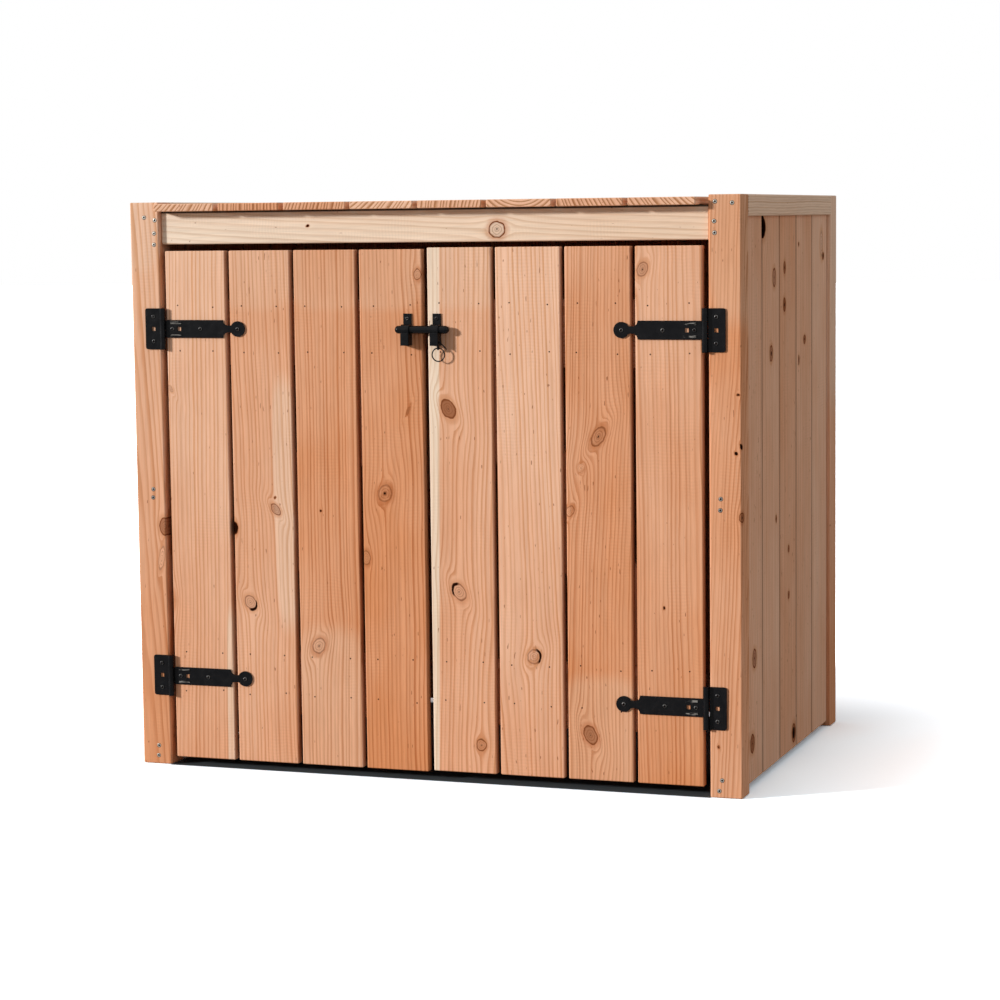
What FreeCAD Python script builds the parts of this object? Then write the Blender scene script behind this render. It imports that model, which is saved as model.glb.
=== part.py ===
"""Double wheelie bin store in planed softwood: four posts, boarded sides, back and roof,
and two ledged and braced doors on black tee hinges, held shut by a round bolt.

Millimetres, +Z up, front towards -Y. The origin lies on the floor under the middle of the
whole outline. Each piece is written to parts/NAME.step as its own solid.
"""
import FreeCAD, Part
import math
import os

from FreeCAD import Vector

# Size over the posts, and how far the roof stands out in front of them
width = 1350.0
depth = 880.0
height = 1220.0
roof_overhang = 23.0

# Posts, and the rails of the same timber laid between them
post_width = 68.0
post_depth = 58.0
rail_height = 70.0
rail_depth = 45.0
front_rail_setback = 11.0
side_rail_height = 44.0
inner_rail = 40.0
side_bottom_lift = 6.0
side_middle_z = 576.0
bearer_height = 68.0
rear_bottom_lift = 40.0

# Boards
roof_thickness = 16.0
roof_board = 140.0
roof_gap = 10.5
roof_top = height - 4.0
roof_count = 8
wall_thickness = 18.0
wall_recess = 10.0
wall_gap = 4.0
wall_lift = 12.0
side_count = 5
back_count = 8

# Rounding of the planed edges, and the edge taken off sawn ends that show
board_arris = 3.0
wall_arris = 2.0
post_arris = 4.0
end_ease = 1.5

# A knot that has dropped out of the second board of the right side
knot_hole_height = 42.0
knot_hole_depth = 17.0
knot_hole_z = 1148.0

# Doors
board_count = 4
door_board = 140.0
door_thickness = 20.0
hinge_side_gap = 13.0
meeting_gap = 12.0
door_bottom = 18.0
door_top = 1116.0
right_door_lift = 3.0
ledge_height = 140.0
ledge_inset = 12.0
ledge_from_end = 104.0
brace_width = 140.0
brace_arris = 2.0

# Tee hinges: distances along the strap are from the middle of the pin
metal = 3.0
pin_radius = 3.0
pin_clearance = 0.06
pin_dome = 0.75
barrel_radius = pin_radius + metal
barrel_gap = 0.4
plate_reach = 42.0
plate_height = 88.0
plate_corner = 5.0
strap_height = 38.0
strap_start = 8.0
strap_end = 140.5
knuckle_height = 36.0
neck_half = 7.5
disc_centre = 175.0
disc_radius = 16.5
screw_hole_radius = 2.6
square_hole = 8.5
plate_screw_x = 23.0
plate_screw_z = 26.5
strap_screws = (22.0, 88.0, disc_centre)
strap_square = 38.0
rib_start = 15.0
rib_end = 46.0
rib_width = 4.5
rib_height = 1.5
rib_offset = 13.0
seam = 0.6
seam_start = 2.4
upper_hinge_z = 950.0
lower_left_hinge_z = 197.0
lower_right_hinge_z = 184.0

# Latch: heights are from the middle of the bolt, forward distances from the door's face
latch_z = 950.0
bolt_radius = 8.25
bolt_clearance = 0.3
bracket_width = 18.0
bracket_top = 33.0
bracket_bottom = -33.0
bracket_metal = 2.5
box_top = -5.5
box_forward = 22.5
sleeve_forward = 22.0
keeper_from_edge = 23.0
guide_from_edge = 12.0
bolt_past_keeper = 15.5
bolt_past_guide = 21.0
latch_screw_z = 23.0
ring_radius = 13.7
ring_wire = 1.3
ring_hole_radius = 1.9
ring_from_guide = 15.0
lug_thickness = 3.0
lug_radius = 4.2
lug_drop = 5.0
lug_weld = 1.5
wire_end = 26.0
wire_end_inset = 3.0
wire_end_lift = 11.0

# Worked out from the sizes above
half = width / 2
front = -(depth + roof_overhang) / 2 + roof_overhang
back = front + depth
inside = half - post_width
clear_width = 2 * inside
post_back = front + post_depth
rear_post_front = back - post_depth
roof_underside = roof_top - roof_thickness
side_rail_bottom = height - side_rail_height
wall_face = half - wall_recess
rail_face = wall_face - wall_thickness
door_width = (clear_width - 2 * hinge_side_gap - meeting_gap) / 2
door_gap = (door_width - board_count * door_board) / (board_count - 1)
door_back = front + door_thickness
ledge_back = door_back + door_thickness
hinge_x = inside - hinge_side_gap / 2
hinge_y = front - barrel_radius
bolt_forward = bracket_metal + bolt_clearance + bolt_radius
bolt_bore = bolt_radius + bolt_clearance

# Two places closer than this are the same one
same_place = 0.01

# For a grain direction: the section's across and up axes, and the axis it is pushed along
SECTION = {"X": (1, 2, 0), "Y": (0, 2, 1), "Z": (0, 1, 2)}


def export(name, shape):
    shape.exportStep(os.path.join("parts", name + ".step"))


def line(a, b):
    return Part.LineSegment(a, b).toShape()


def arc(a, middle, b):
    return Part.Arc(a, middle, b).toShape()


def rounded_section(point, u0, v0, u1, v1, radius):
    """Wire round a rectangle with round corners; point(u, v) places it in space."""
    centres = [(u1 - radius, v1 - radius), (u0 + radius, v1 - radius),
               (u0 + radius, v0 + radius), (u1 - radius, v0 + radius)]
    corners = []
    for quarter, (cu, cv) in enumerate(centres):
        turns = [(quarter + step / 2) * math.pi / 2 for step in range(3)]
        corners.append([point(cu + radius * math.cos(t), cv + radius * math.sin(t)) for t in turns])
    edges = []
    for i, corner in enumerate(corners):
        following = corners[(i + 1) % 4]
        edges.append(arc(*corner))
        edges.append(line(corner[2], following[0]))
    return Part.Wire(edges)


def timber(low, high, grain, arris=board_arris, ease=0.0):
    """A planed length of timber: a rounded section pushed along its grain.

    ease takes the edge off both sawn ends as well.
    """
    across, up, along = SECTION[grain]

    def point(u, v):
        place = [0.0, 0.0, 0.0]
        place[across] = u
        place[up] = v
        place[along] = low[along]
        return Vector(*place)

    push = [0.0, 0.0, 0.0]
    push[along] = high[along] - low[along]
    wire = rounded_section(point, low[across], low[up], high[across], high[up], arris)
    solid = Part.Face(wire).extrude(Vector(*push))
    if ease:
        ends = [face for face in solid.Faces if lies_across(face, along)]
        solid = solid.makeChamfer(ease, [edge for face in ends for edge in face.Edges])
    return solid


def lies_across(face, along):
    """True for a flat face square to the axis of that number, such as a board's end."""
    box = face.BoundBox
    length = (box.XLength, box.YLength, box.ZLength)[along]
    return length < same_place


def mirrored(shape):
    """The same piece on the other side of the store."""
    return shape.mirror(Vector(0, 0, 0), Vector(1, 0, 0))


def spread(start, end, count, gap):
    """Starts and width of count boards that fill a stretch with gaps between them."""
    board = (end - start - (count - 1) * gap) / count
    return [start + i * (board + gap) for i in range(count)], board


def posts():
    for side, x in (("left", -half), ("right", inside)):
        for place, y in (("front", front), ("rear", rear_post_front)):
            low = (x, y, 0)
            high = (x + post_width, y + post_depth, height)
            export(place + "_" + side + "_post", timber(low, high, "Z", post_arris, end_ease))


def side_batten(z):
    """A rail inside the right wall, behind its boards, from post to post."""
    return timber((inside, post_back, z), (rail_face, rear_post_front, z + side_rail_height), "Y")


def rails():
    rail_z = roof_underside - rail_height
    face = front + front_rail_setback
    export("front_top_rail", timber((-inside, face, rail_z),
                                    (inside, face + rail_depth, roof_underside),
                                    "X", post_arris, board_arris))
    back_face = back - wall_recess - wall_thickness
    export("rear_top_rail", timber((-inside, back_face - rail_depth, rail_z),
                                   (inside, back_face, roof_underside), "X"))
    export("rear_bottom_rail", timber((-inside, back_face - inner_rail, rear_bottom_lift),
                                      (inside, back_face, rear_bottom_lift + bearer_height), "X"))
    middle = (front + back) / 2
    export("roof_bearer", timber((-inside, middle - inner_rail / 2, roof_underside - bearer_height),
                                 (inside, middle + inner_rail / 2, roof_underside), "X"))
    top = timber((inside, post_back, side_rail_bottom), (half, rear_post_front, height), "Y", post_arris)
    battens = Part.makeCompound([side_batten(side_rail_bottom - side_rail_height),
                                 side_batten(side_middle_z)])
    bottom = side_batten(side_bottom_lift)
    for name, rail in (("top_rail", top), ("wall_battens", battens), ("bottom_rail", bottom)):
        export("right_" + name, rail)
        export("left_" + name, mirrored(rail))


def roof():
    """Boards from front to back, laid from the left post; the last stops short of the right one."""
    for i in range(roof_count):
        x = -inside + i * (roof_board + roof_gap)
        board = timber((x, front - roof_overhang, roof_underside), (x + roof_board, back, roof_top),
                       "Y", board_arris, end_ease)
        export("roof_board_%d" % (i + 1), board)


def knot_hole(edge_y):
    """The half oval bite that a lost knot leaves in a board's edge, right through the board."""
    oval = Part.Ellipse(Vector(0, 0, 0), knot_hole_height / 2, knot_hole_depth)
    bite = Part.Face(Part.Wire(oval.toShape())).extrude(Vector(0, 0, 4 * wall_thickness))
    bite.rotate(Vector(0, 0, 0), Vector(0, 1, 0), 90)
    bite.translate(Vector(rail_face - wall_thickness, edge_y, knot_hole_z))
    return bite


def walls():
    starts, board = spread(post_back, rear_post_front, side_count, wall_gap)
    for i, y in enumerate(starts):
        right = timber((rail_face, y, wall_lift), (wall_face, y + board, side_rail_bottom),
                       "Z", wall_arris)
        left = mirrored(right)
        if i == 1:
            right = right.cut(knot_hole(y))
        export("right_side_board_%d" % (i + 1), right)
        export("left_side_board_%d" % (i + 1), left)
    outer = back - wall_recess
    starts, board = spread(-inside, inside, back_count, wall_gap)
    boards = [timber((x, outer - wall_thickness, wall_lift), (x + board, outer, roof_underside),
                     "Z", wall_arris) for x in starts]
    export("back_boards", Part.makeCompound(boards))


def brace(bottom, top):
    """A diagonal from the hinge side's foot to the meeting edge's head, ends cut to the ledges.

    Drawn for the left door. slant is the length of each cut end, for which the brace has its
    full width between its long edges.
    """
    rise = top - bottom
    start = -inside + hinge_side_gap + ledge_inset
    stretch = door_width - 2 * ledge_inset
    reach = math.sqrt(rise ** 2 + stretch ** 2 - brace_width ** 2)
    slant = brace_width * (rise * reach - brace_width * stretch) / (rise ** 2 - brace_width ** 2)
    corners = [(start, bottom), (start + slant, bottom),
               (start + stretch, top), (start + stretch - slant, top)]
    points = [Vector(x, door_back, z) for x, z in corners]
    wire = Part.makePolygon(points + points[:1])
    solid = Part.Face(wire).extrude(Vector(0, door_thickness, 0))
    long_edges = [edge for edge in solid.Edges if edge.Length > rise]
    return solid.makeFillet(brace_arris, long_edges)


def doors():
    left_edge = -inside + hinge_side_gap
    for i in range(board_count):
        x = left_edge + i * (door_board + door_gap)
        board = timber((x, front, door_bottom), (x + door_board, door_back, door_top),
                       "Z", board_arris, end_ease)
        export("left_door_board_%d" % (i + 1), board)
        opposite = mirrored(board)
        opposite.translate(Vector(0, 0, right_door_lift))
        export("right_door_board_%d" % (board_count - i), opposite)
    lower = door_bottom + ledge_from_end
    upper = door_top - ledge_from_end - ledge_height
    for name, z in (("lower_ledge", lower), ("upper_ledge", upper)):
        ledge = timber((left_edge + ledge_inset, door_back, z),
                       (left_edge + door_width - ledge_inset, ledge_back, z + ledge_height),
                       "X", board_arris, end_ease)
        export("left_" + name, ledge)
        export("right_" + name, mirrored(ledge))
    diagonal = brace(lower + ledge_height, upper)
    export("left_brace", diagonal)
    export("right_brace", mirrored(diagonal))


def rolled_leaf(reach, low, high, bore, side):
    """A leaf with its edge rolled into a barrel round the pin, its back flat on the timber.

    The pin stands at the origin; side is +1 or -1, the way in which the leaf lies.
    """
    tall = high - low
    barrel = Part.makeCylinder(barrel_radius, tall, Vector(0, 0, low))
    leaf = Part.makeBox(reach, metal, tall, Vector(min(0, side * reach), barrel_radius - metal, low))
    seam_length = 2 * barrel_radius - seam_start
    seam_x = min(side * seam_start, side * (seam_start + seam_length))
    slit = Part.makeBox(seam_length, seam, tall, Vector(seam_x, barrel_radius - metal - seam, low))
    hole = Part.makeCylinder(bore, tall, Vector(0, 0, low))
    return barrel.cut(slit).fuse(leaf).cut(hole)


def screw_hole(x, z):
    return Part.makeCylinder(screw_hole_radius, 3 * metal, Vector(x, 0, z), Vector(0, 1, 0))


def square_cut(x, z):
    start = Vector(x - square_hole / 2, 0, z - square_hole / 2)
    return Part.makeBox(square_hole, 3 * metal, square_hole, start)


def hinge_plate():
    """The plate on the post, on the -X side of the pin, with a barrel above and below the strap's."""
    middle = knuckle_height / 2 + barrel_gap
    end = plate_height / 2
    flat_start = barrel_radius + seam
    back_y = barrel_radius - metal

    def point(u, v):
        return Vector(u, back_y, v)

    wire = rounded_section(point, -plate_reach, -end, -flat_start, end, plate_corner)
    plate = Part.Face(wire).extrude(Vector(0, metal, 0))
    for low, high in ((middle, end), (-end, -middle)):
        plate = plate.fuse(rolled_leaf(flat_start + plate_corner, low, high, pin_radius, -1))
    for z in (-plate_screw_z, plate_screw_z):
        plate = plate.cut(screw_hole(-plate_screw_x, z))
    return plate.cut(square_cut(-plate_screw_x, 0)).removeSplitter()


def strap_outline():
    """The strap's face: straight sides, hollow shoulders, a neck and a round end."""
    top = strap_height / 2
    near = knuckle_height / 2
    hollow = top - neck_half
    neck_start = strap_end + hollow
    diagonal = hollow * math.sqrt(0.5)
    disc_meet = disc_centre - math.sqrt(disc_radius ** 2 - neck_half ** 2)

    def upper(x, z):
        return Vector(x, 0, z)

    def lower(x, z):
        return Vector(x, 0, -z)

    edges = []
    for side in (upper, lower):
        edges.append(line(side(barrel_radius, near), side(strap_start, near)))
        edges.append(line(side(strap_start, near), side(strap_start + 2 * (top - near), top)))
        edges.append(line(side(strap_start + 2 * (top - near), top), side(strap_end, top)))
        edges.append(arc(side(strap_end, top), side(neck_start - diagonal, top - diagonal),
                         side(neck_start, neck_half)))
        edges.append(line(side(neck_start, neck_half), side(disc_meet, neck_half)))
    edges.append(arc(upper(disc_meet, neck_half), upper(disc_centre + disc_radius, 0),
                     lower(disc_meet, neck_half)))
    edges.append(line(upper(barrel_radius, near), lower(barrel_radius, near)))
    return Part.Wire(Part.__sortEdges__(edges))


def pressed_rib(z):
    """A raised rib with sloping ends that stiffens the strap beside its knuckle."""
    face_y = barrel_radius - metal
    slope = 2 * rib_height
    profile = [(rib_start, face_y), (rib_start + slope, face_y - rib_height),
               (rib_end - slope, face_y - rib_height), (rib_end, face_y)]
    points = [Vector(x, y, z - rib_width / 2) for x, y in profile]
    return Part.Face(Part.makePolygon(points + points[:1])).extrude(Vector(0, 0, rib_width))


def hinge_strap():
    """The strap on the door, on the +X side of the pin, with the middle barrel."""
    near = knuckle_height / 2
    outline = strap_outline()
    outline.translate(Vector(0, barrel_radius - metal, 0))
    strap = Part.Face(outline).extrude(Vector(0, metal, 0))
    strap = strap.fuse(rolled_leaf(strap_start, -near, near, pin_radius + pin_clearance, 1))
    for z in (-rib_offset, rib_offset):
        strap = strap.fuse(pressed_rib(z))
    for x in strap_screws:
        strap = strap.cut(screw_hole(x, 0))
    return strap.cut(square_cut(strap_square, 0)).removeSplitter()


def hinge_pin():
    """A pin with slightly domed, riveted ends."""
    end = plate_height / 2
    tip = end + pin_dome
    ball = (pin_radius ** 2 + pin_dome ** 2) / (2 * pin_dome)
    lean = math.asin(pin_radius / ball) / 2
    edges = [line(Vector(0, 0, -tip), Vector(0, 0, tip))]
    for sign in (1, -1):
        edges.append(arc(Vector(0, 0, sign * tip),
                         Vector(ball * math.sin(lean), 0, sign * (tip - ball + ball * math.cos(lean))),
                         Vector(pin_radius, 0, sign * end)))
    edges.append(line(Vector(pin_radius, 0, end), Vector(pin_radius, 0, -end)))
    profile = Part.Face(Part.Wire(Part.__sortEdges__(edges)))
    return profile.revolve(Vector(0, 0, 0), Vector(0, 0, 1), 360)


def hinges():
    plate = hinge_plate()
    strap = hinge_strap()
    places = (("upper_left", -1, upper_hinge_z), ("lower_left", -1, lower_left_hinge_z),
              ("upper_right", 1, upper_hinge_z), ("lower_right", 1, lower_right_hinge_z))
    pins = []
    for name, side, z in places:
        for piece, shape in (("hinge_plate", plate), ("hinge_strap", strap)):
            copy = shape.copy() if side < 0 else mirrored(shape)
            copy.translate(Vector(side * hinge_x, hinge_y, z))
            export(name + "_" + piece, copy)
        pin = hinge_pin()
        pin.translate(Vector(side * hinge_x, hinge_y, z))
        pins.append(pin)
    export("hinge_pins", Part.makeCompound(pins))


def latch_bracket():
    """One bolt bracket: a screw tab above, a sleeve round the bolt and a box below it.

    Drawn with the bolt's middle at height 0, the door's face at y = 0 and x from 0 up.
    """
    sleeve_radius = sleeve_forward - bolt_forward
    tab_y = bracket_metal
    top_z = math.sqrt(sleeve_radius ** 2 - (bolt_forward - tab_y) ** 2)
    meet_y = bolt_forward + math.sqrt(sleeve_radius ** 2 - box_top ** 2)

    def at(forward, z):
        return Vector(0, -forward, z)

    crown = at(bolt_forward, sleeve_radius)
    profile = [line(at(0, bracket_bottom), at(box_forward, bracket_bottom)),
               line(at(box_forward, bracket_bottom), at(box_forward, box_top)),
               line(at(box_forward, box_top), at(meet_y, box_top)),
               arc(at(meet_y, box_top), crown, at(tab_y, top_z)),
               line(at(tab_y, top_z), at(tab_y, bracket_top)),
               line(at(tab_y, bracket_top), at(0, bracket_top)),
               line(at(0, bracket_top), at(0, bracket_bottom))]
    bracket = Part.Face(Part.Wire(profile)).extrude(Vector(bracket_width, 0, 0))
    front_edges = [edge for edge in bracket.Edges
                   if abs(edge.BoundBox.YMin + box_forward) < same_place
                   and abs(edge.BoundBox.YMax + box_forward) < same_place]
    bracket = bracket.makeFillet(end_ease, front_edges)
    bore = Part.makeCylinder(bolt_bore, bracket_width, Vector(0, -bolt_forward, 0), Vector(1, 0, 0))
    screw = Part.makeCylinder(screw_hole_radius, 2 * bracket_metal,
                              Vector(bracket_width / 2, -2 * bracket_metal, latch_screw_z),
                              Vector(0, 1, 0))
    return bracket.cut(bore).cut(screw)


def ring_lug():
    """The eye under the right bracket that the ring hangs in, with the wire's bent end beside it."""
    x = ring_from_guide - lug_thickness / 2
    eye_z = bracket_bottom - lug_drop
    web = Part.makeBox(lug_thickness, 2 * lug_radius, lug_drop + lug_weld,
                       Vector(x, -bolt_forward - lug_radius, eye_z))
    sideways = Vector(1, 0, 0)
    eye = Vector(x, -bolt_forward, eye_z)
    lug = web.fuse(Part.makeCylinder(lug_radius, lug_thickness, eye, sideways))
    lug = lug.cut(Part.makeCylinder(ring_hole_radius, lug_thickness, eye, sideways))
    start = Vector(bracket_width - wire_end_inset, -bolt_forward, bracket_bottom + wire_end_lift)
    wire = Part.makeCylinder(ring_wire, wire_end, start, Vector(1, 0, -1))
    return lug.fuse(wire)


def latch():
    keeper_x = -meeting_gap / 2 - keeper_from_edge - bracket_width
    guide_x = meeting_gap / 2 + guide_from_edge
    keeper = latch_bracket()
    keeper.translate(Vector(keeper_x, front, latch_z))
    export("latch_keeper", keeper)
    guide = latch_bracket().fuse(ring_lug())
    guide.translate(Vector(guide_x, front, latch_z))
    export("latch_guide", guide)

    bolt_y = front - bolt_forward
    start = keeper_x - bolt_past_keeper
    end = guide_x + bracket_width + bolt_past_guide
    slope = bolt_radius * math.sqrt(0.5)
    shaft_start = start + bolt_radius
    shaft_end = end - bolt_radius
    outline = [arc(Vector(start, 0, 0), Vector(shaft_start - slope, 0, slope),
                   Vector(shaft_start, 0, bolt_radius)),
               line(Vector(shaft_start, 0, bolt_radius), Vector(shaft_end, 0, bolt_radius)),
               arc(Vector(shaft_end, 0, bolt_radius), Vector(shaft_end + slope, 0, slope),
                   Vector(end, 0, 0)),
               line(Vector(end, 0, 0), Vector(start, 0, 0))]
    bolt = Part.Face(Part.Wire(outline)).revolve(Vector(0, 0, 0), Vector(1, 0, 0), 360)
    bolt.translate(Vector(0, bolt_y, latch_z))
    export("latch_bolt", bolt)

    eye_z = latch_z + bracket_bottom - lug_drop
    centre = Vector(guide_x + ring_from_guide, bolt_y, eye_z - ring_radius)
    export("latch_ring", Part.makeTorus(ring_radius, ring_wire, centre, Vector(0, 1, 0)))


os.makedirs("parts", exist_ok=True)
posts()
rails()
roof()
walls()
doors()
hinges()
latch()
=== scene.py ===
"""Looks of a double wheelie bin store: planed larch boards on a carcass of the same timber,
satin black tee hinges and a black bolt with a ring.

Everything is in metres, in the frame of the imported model. Sizes that read better in
millimetres are a number times MM, or stand under a comment that says millimetres.
"""

import random
from collections import namedtuple
from math import cos, radians, sin, tau

import bmesh
import bpy
from mathutils import Matrix, Vector


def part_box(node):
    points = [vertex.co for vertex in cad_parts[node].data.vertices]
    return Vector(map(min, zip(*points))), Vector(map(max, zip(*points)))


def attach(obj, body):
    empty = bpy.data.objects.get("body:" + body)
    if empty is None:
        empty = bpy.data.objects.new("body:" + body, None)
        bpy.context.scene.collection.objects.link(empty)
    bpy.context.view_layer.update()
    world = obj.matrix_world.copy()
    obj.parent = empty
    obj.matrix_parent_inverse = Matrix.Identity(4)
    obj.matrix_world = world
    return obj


MM = 0.001

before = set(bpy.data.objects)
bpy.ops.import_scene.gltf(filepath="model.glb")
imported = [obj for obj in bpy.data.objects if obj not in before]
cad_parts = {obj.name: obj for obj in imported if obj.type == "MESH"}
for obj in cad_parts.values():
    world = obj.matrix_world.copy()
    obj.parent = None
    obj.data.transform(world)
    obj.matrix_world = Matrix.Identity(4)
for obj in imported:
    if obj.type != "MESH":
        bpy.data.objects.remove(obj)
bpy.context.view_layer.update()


# Colours of the finishes, as sRGB

PALE_EARLYWOOD = "#F0C3A5"
PALE_LATEWOOD = "#D99C6F"
DEEP_EARLYWOOD = "#D99264"
DEEP_LATEWOOD = "#B16337"
SAP_EARLYWOOD = "#F4E0CA"
SAP_LATEWOOD = "#DAB997"
AGED_SAP_EARLYWOOD = "#EBCDB1"
AGED_SAP_LATEWOOD = "#CEA27B"
KNOT_WOOD = "#965A38"
KNOT_RING = "#743A1A"
BARK_AND_SOCKET_SHADE = "#220D05"
RESIN = "#8A4F2E"
BLACK_COAT = "#0F0F11"
BLACK_ZINC = "#343334"
BRIGHT_ZINC = "#ADA89E"
WORN_ZINC_AND_RIB_HIGHLIGHT = "#8A8782"
COAT_DUST = "#201F20"
CRUSHED_FIBRE = "#6B452F"

MATH = "ShaderNodeMath"
VECTOR = "ShaderNodeVectorMath"
MIX = "ShaderNodeMix"
RANGE = "ShaderNodeMapRange"
NOISE = "ShaderNodeTexNoise"
COORDINATES = "ShaderNodeTexCoord"
SPLIT = "ShaderNodeSeparateXYZ"
JOIN = "ShaderNodeCombineXYZ"
CHANCE = "ShaderNodeTexWhiteNoise"
SEEN = "ShaderNodeLightPath"
GROUP = "ShaderNodeGroup"
GROUP_END = "NodeGroupOutput"
BUMP = "ShaderNodeBump"

# Settings that many nodes share
COLOURS = {"data_type": "RGBA"}
SMOOTH = {"interpolation_type": "SMOOTHSTEP"}
TIMES_PLUS = {"operation": "MULTIPLY_ADD"}

# A noise's mean, and what multiplies a vector to keep some of its parts. On a board these are
# across its face, through its thickness and along its grain
MEAN = (0.5, 0.5, 0.5)
ACROSS = (1.0, 0.0, 0.0)
ACROSS_AND_THROUGH = (1.0, 1.0, 0.0)
ACROSS_AND_ALONG = (1.0, 0.0, 1.0)


def linear(colour):
    """An sRGB hex colour as the linear RGBA that shaders take."""
    channels = [int(colour[i:i + 2], 16) / 255 for i in (1, 3, 5)]
    return tuple(c / 12.92 if c <= 0.04045 else ((c + 0.055) / 1.055) ** 2.4
                 for c in channels) + (1.0,)


def out(node):
    """The first output of a node that its settings leave in use."""
    return next(s for s in node.outputs if s.enabled)


def plug(tree, node, sockets):
    """Sets or links the sockets of a node, each by its number or its name."""
    for key, value in sockets.items():
        if isinstance(key, str):
            socket = next(s for s in node.inputs if s.enabled and s.name == key)
        else:
            socket = node.inputs[key]
        if isinstance(value, bpy.types.Node):
            value = out(value)
        if isinstance(value, bpy.types.NodeSocket):
            tree.links.new(value, socket)
        else:
            socket.default_value = value


def add(tree, kind, sockets=None, **settings):
    """Adds a node, gives it its settings and plugs its sockets."""
    made = tree.nodes.new(kind)
    for name, value in settings.items():
        setattr(made, name, value)
    plug(tree, made, sockets or {})
    return made


def new_group(name, results, **inputs):
    """An empty node group that gives results from inputs, and the sockets of what it is given.

    Both are named by the kind of socket, such as Vector or Float.
    """
    tree = bpy.data.node_groups.new(name, "ShaderNodeTree")
    for direction, sockets in (("INPUT", inputs), ("OUTPUT", results)):
        for kind, labels in sockets.items():
            for label in labels:
                tree.interface.new_socket(label, in_out=direction,
                                          socket_type="NodeSocket" + kind)
    return tree, tree.nodes.new("NodeGroupInput").outputs


def new_surface(name, **constants):
    """A material with its Principled shader; constants are set on the shader's own sockets."""
    material = bpy.data.materials.new(name)
    material.use_nodes = True
    shader = material.node_tree.nodes["Principled BSDF"]
    for label, value in constants.items():
        shader.inputs[label.replace("_", " ")].default_value = value
    return material, material.node_tree, shader


# Timber

# How much less than across it a knot bends the grain along it, for the same part of its size
KNOT_REACH = 0.65


def knot_group():
    """Bends the growth rings round one knot and keeps what the nearest knot is like.

    Nearest is 1 at the rim of a knot and 0 at its heart. The rings pass a knot as water
    passes a pile, so the grain parts above it and closes again below it.
    """
    tree, given = new_group(
        "Knot", {"Vector": ("Rings", "Look"), "Float": ("Nearest", "Bark")},
        Vector=("Place", "Rings", "Look", "Centre", "Short way", "Inward", "Long way", "This look",
                "Bark way"), Float=("Nearest", "Bark"))
    away = add(tree, VECTOR, {0: given["Place"], 1: given["Centre"]}, operation="SUBTRACT")
    parts = [add(tree, VECTOR, {0: away, 1: given[way]}, operation="DOT_PRODUCT")
             for way in ("Short way", "Inward", "Long way")]
    unit = add(tree, JOIN, dict(enumerate(parts)))
    here = add(tree, VECTOR, {0: unit}, operation="LENGTH")
    stretched = add(tree, VECTOR, {0: unit, 1: (1.0, 1.0, KNOT_REACH)}, operation="MULTIPLY")
    reach = add(tree, VECTOR, {0: stretched}, operation="LENGTH")
    outside = add(tree, MATH, {0: reach, 1: 1.0}, operation="MAXIMUM")
    squared = add(tree, MATH, {0: outside, 1: 2.0}, operation="POWER")
    pull = add(tree, MATH, {0: 1.0, 1: squared}, operation="DIVIDE")
    sideways = add(tree, VECTOR, {0: away, 1: ACROSS}, operation="MULTIPLY")
    shift = add(tree, VECTOR, {0: sideways, "Scale": pull}, operation="SCALE")
    bent = add(tree, VECTOR, {0: given["Rings"], 1: shift}, operation="SUBTRACT")
    nearer = add(tree, MATH, {0: here, 1: given["Nearest"]}, operation="LESS_THAN")
    nearest = add(tree, MATH, {0: here, 1: given["Nearest"]}, operation="MINIMUM")
    look = add(tree, MIX, {"Factor": nearer, "A": given["Look"], "B": given["This look"]},
               data_type="VECTOR")
    barked = add(tree, VECTOR, {0: unit, 1: given["Bark way"]}, operation="DOT_PRODUCT")
    bark = add(tree, MIX, {"Factor": nearer, "A": given["Bark"], "B": barked})
    add(tree, GROUP_END, {"Rings": bent, "Nearest": nearest, "Look": look, "Bark": bark})
    return tree


def sapwood_group():
    """How much of a place is pale sapwood, for one soft-edged patch with straight sides."""
    tree, given = new_group("Sapwood patch", {"Float": ("Amount",)},
                            Vector=("Place", "Centre", "Half size"), Float=("Amount", "Strength"))
    away = add(tree, VECTOR, {0: given["Place"], 1: given["Centre"]}, operation="SUBTRACT")
    flat = add(tree, VECTOR, {0: away, 1: ACROSS_AND_ALONG}, operation="MULTIPLY")
    unit = add(tree, VECTOR, {0: flat, 1: given["Half size"]}, operation="DIVIDE")
    squared = add(tree, VECTOR, {0: unit, 1: unit}, operation="MULTIPLY")
    far = add(tree, VECTOR, {0: squared}, operation="LENGTH")
    patch = add(tree, RANGE, {"Value": far, "From Min": 1.2, "From Max": 0.7,
                              "To Max": given["Strength"]}, **SMOOTH)
    amount = add(tree, MATH, {0: patch, 1: given["Amount"]}, operation="MAXIMUM")
    add(tree, GROUP_END, {"Amount": amount})
    return tree


# The noises that vary the wood: how many cells there are to the metre across the face, through
# the board and along the grain, how many finer layers lie over them, and how rough those are
WOOD_NOISES = {
    "wander": ((5.0, 5.0, 1.8), 1.0, 0.5),
    "ripple": ((34.0, 34.0, 14.0), 2.0, 0.5),
    "fibre": ((330.0, 330.0, 14.0), 4.0, 0.65),
    "streak": ((80.0, 80.0, 2.2), 2.0, 0.5),
    "cloud": ((9.0, 9.0, 4.0), 3.0, 0.5),
    "fleck": ((300.0, 300.0, 70.0), 0.0, 0.5),
    "chatter": ((14.0, 14.0, 7.0), 1.0, 0.5)}

# The length of the waves that the planer leaves, how many rings a knot shows from its heart to
# its rim, where the line round it lies, as a part of its radius, and how deep the relief is
KNIFE_WAVE = 7 * MM
KNOT_RINGS = 3.4
KNOT_LINE_AT = 0.94
WOOD_RELIEF = 0.4 * MM


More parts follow.
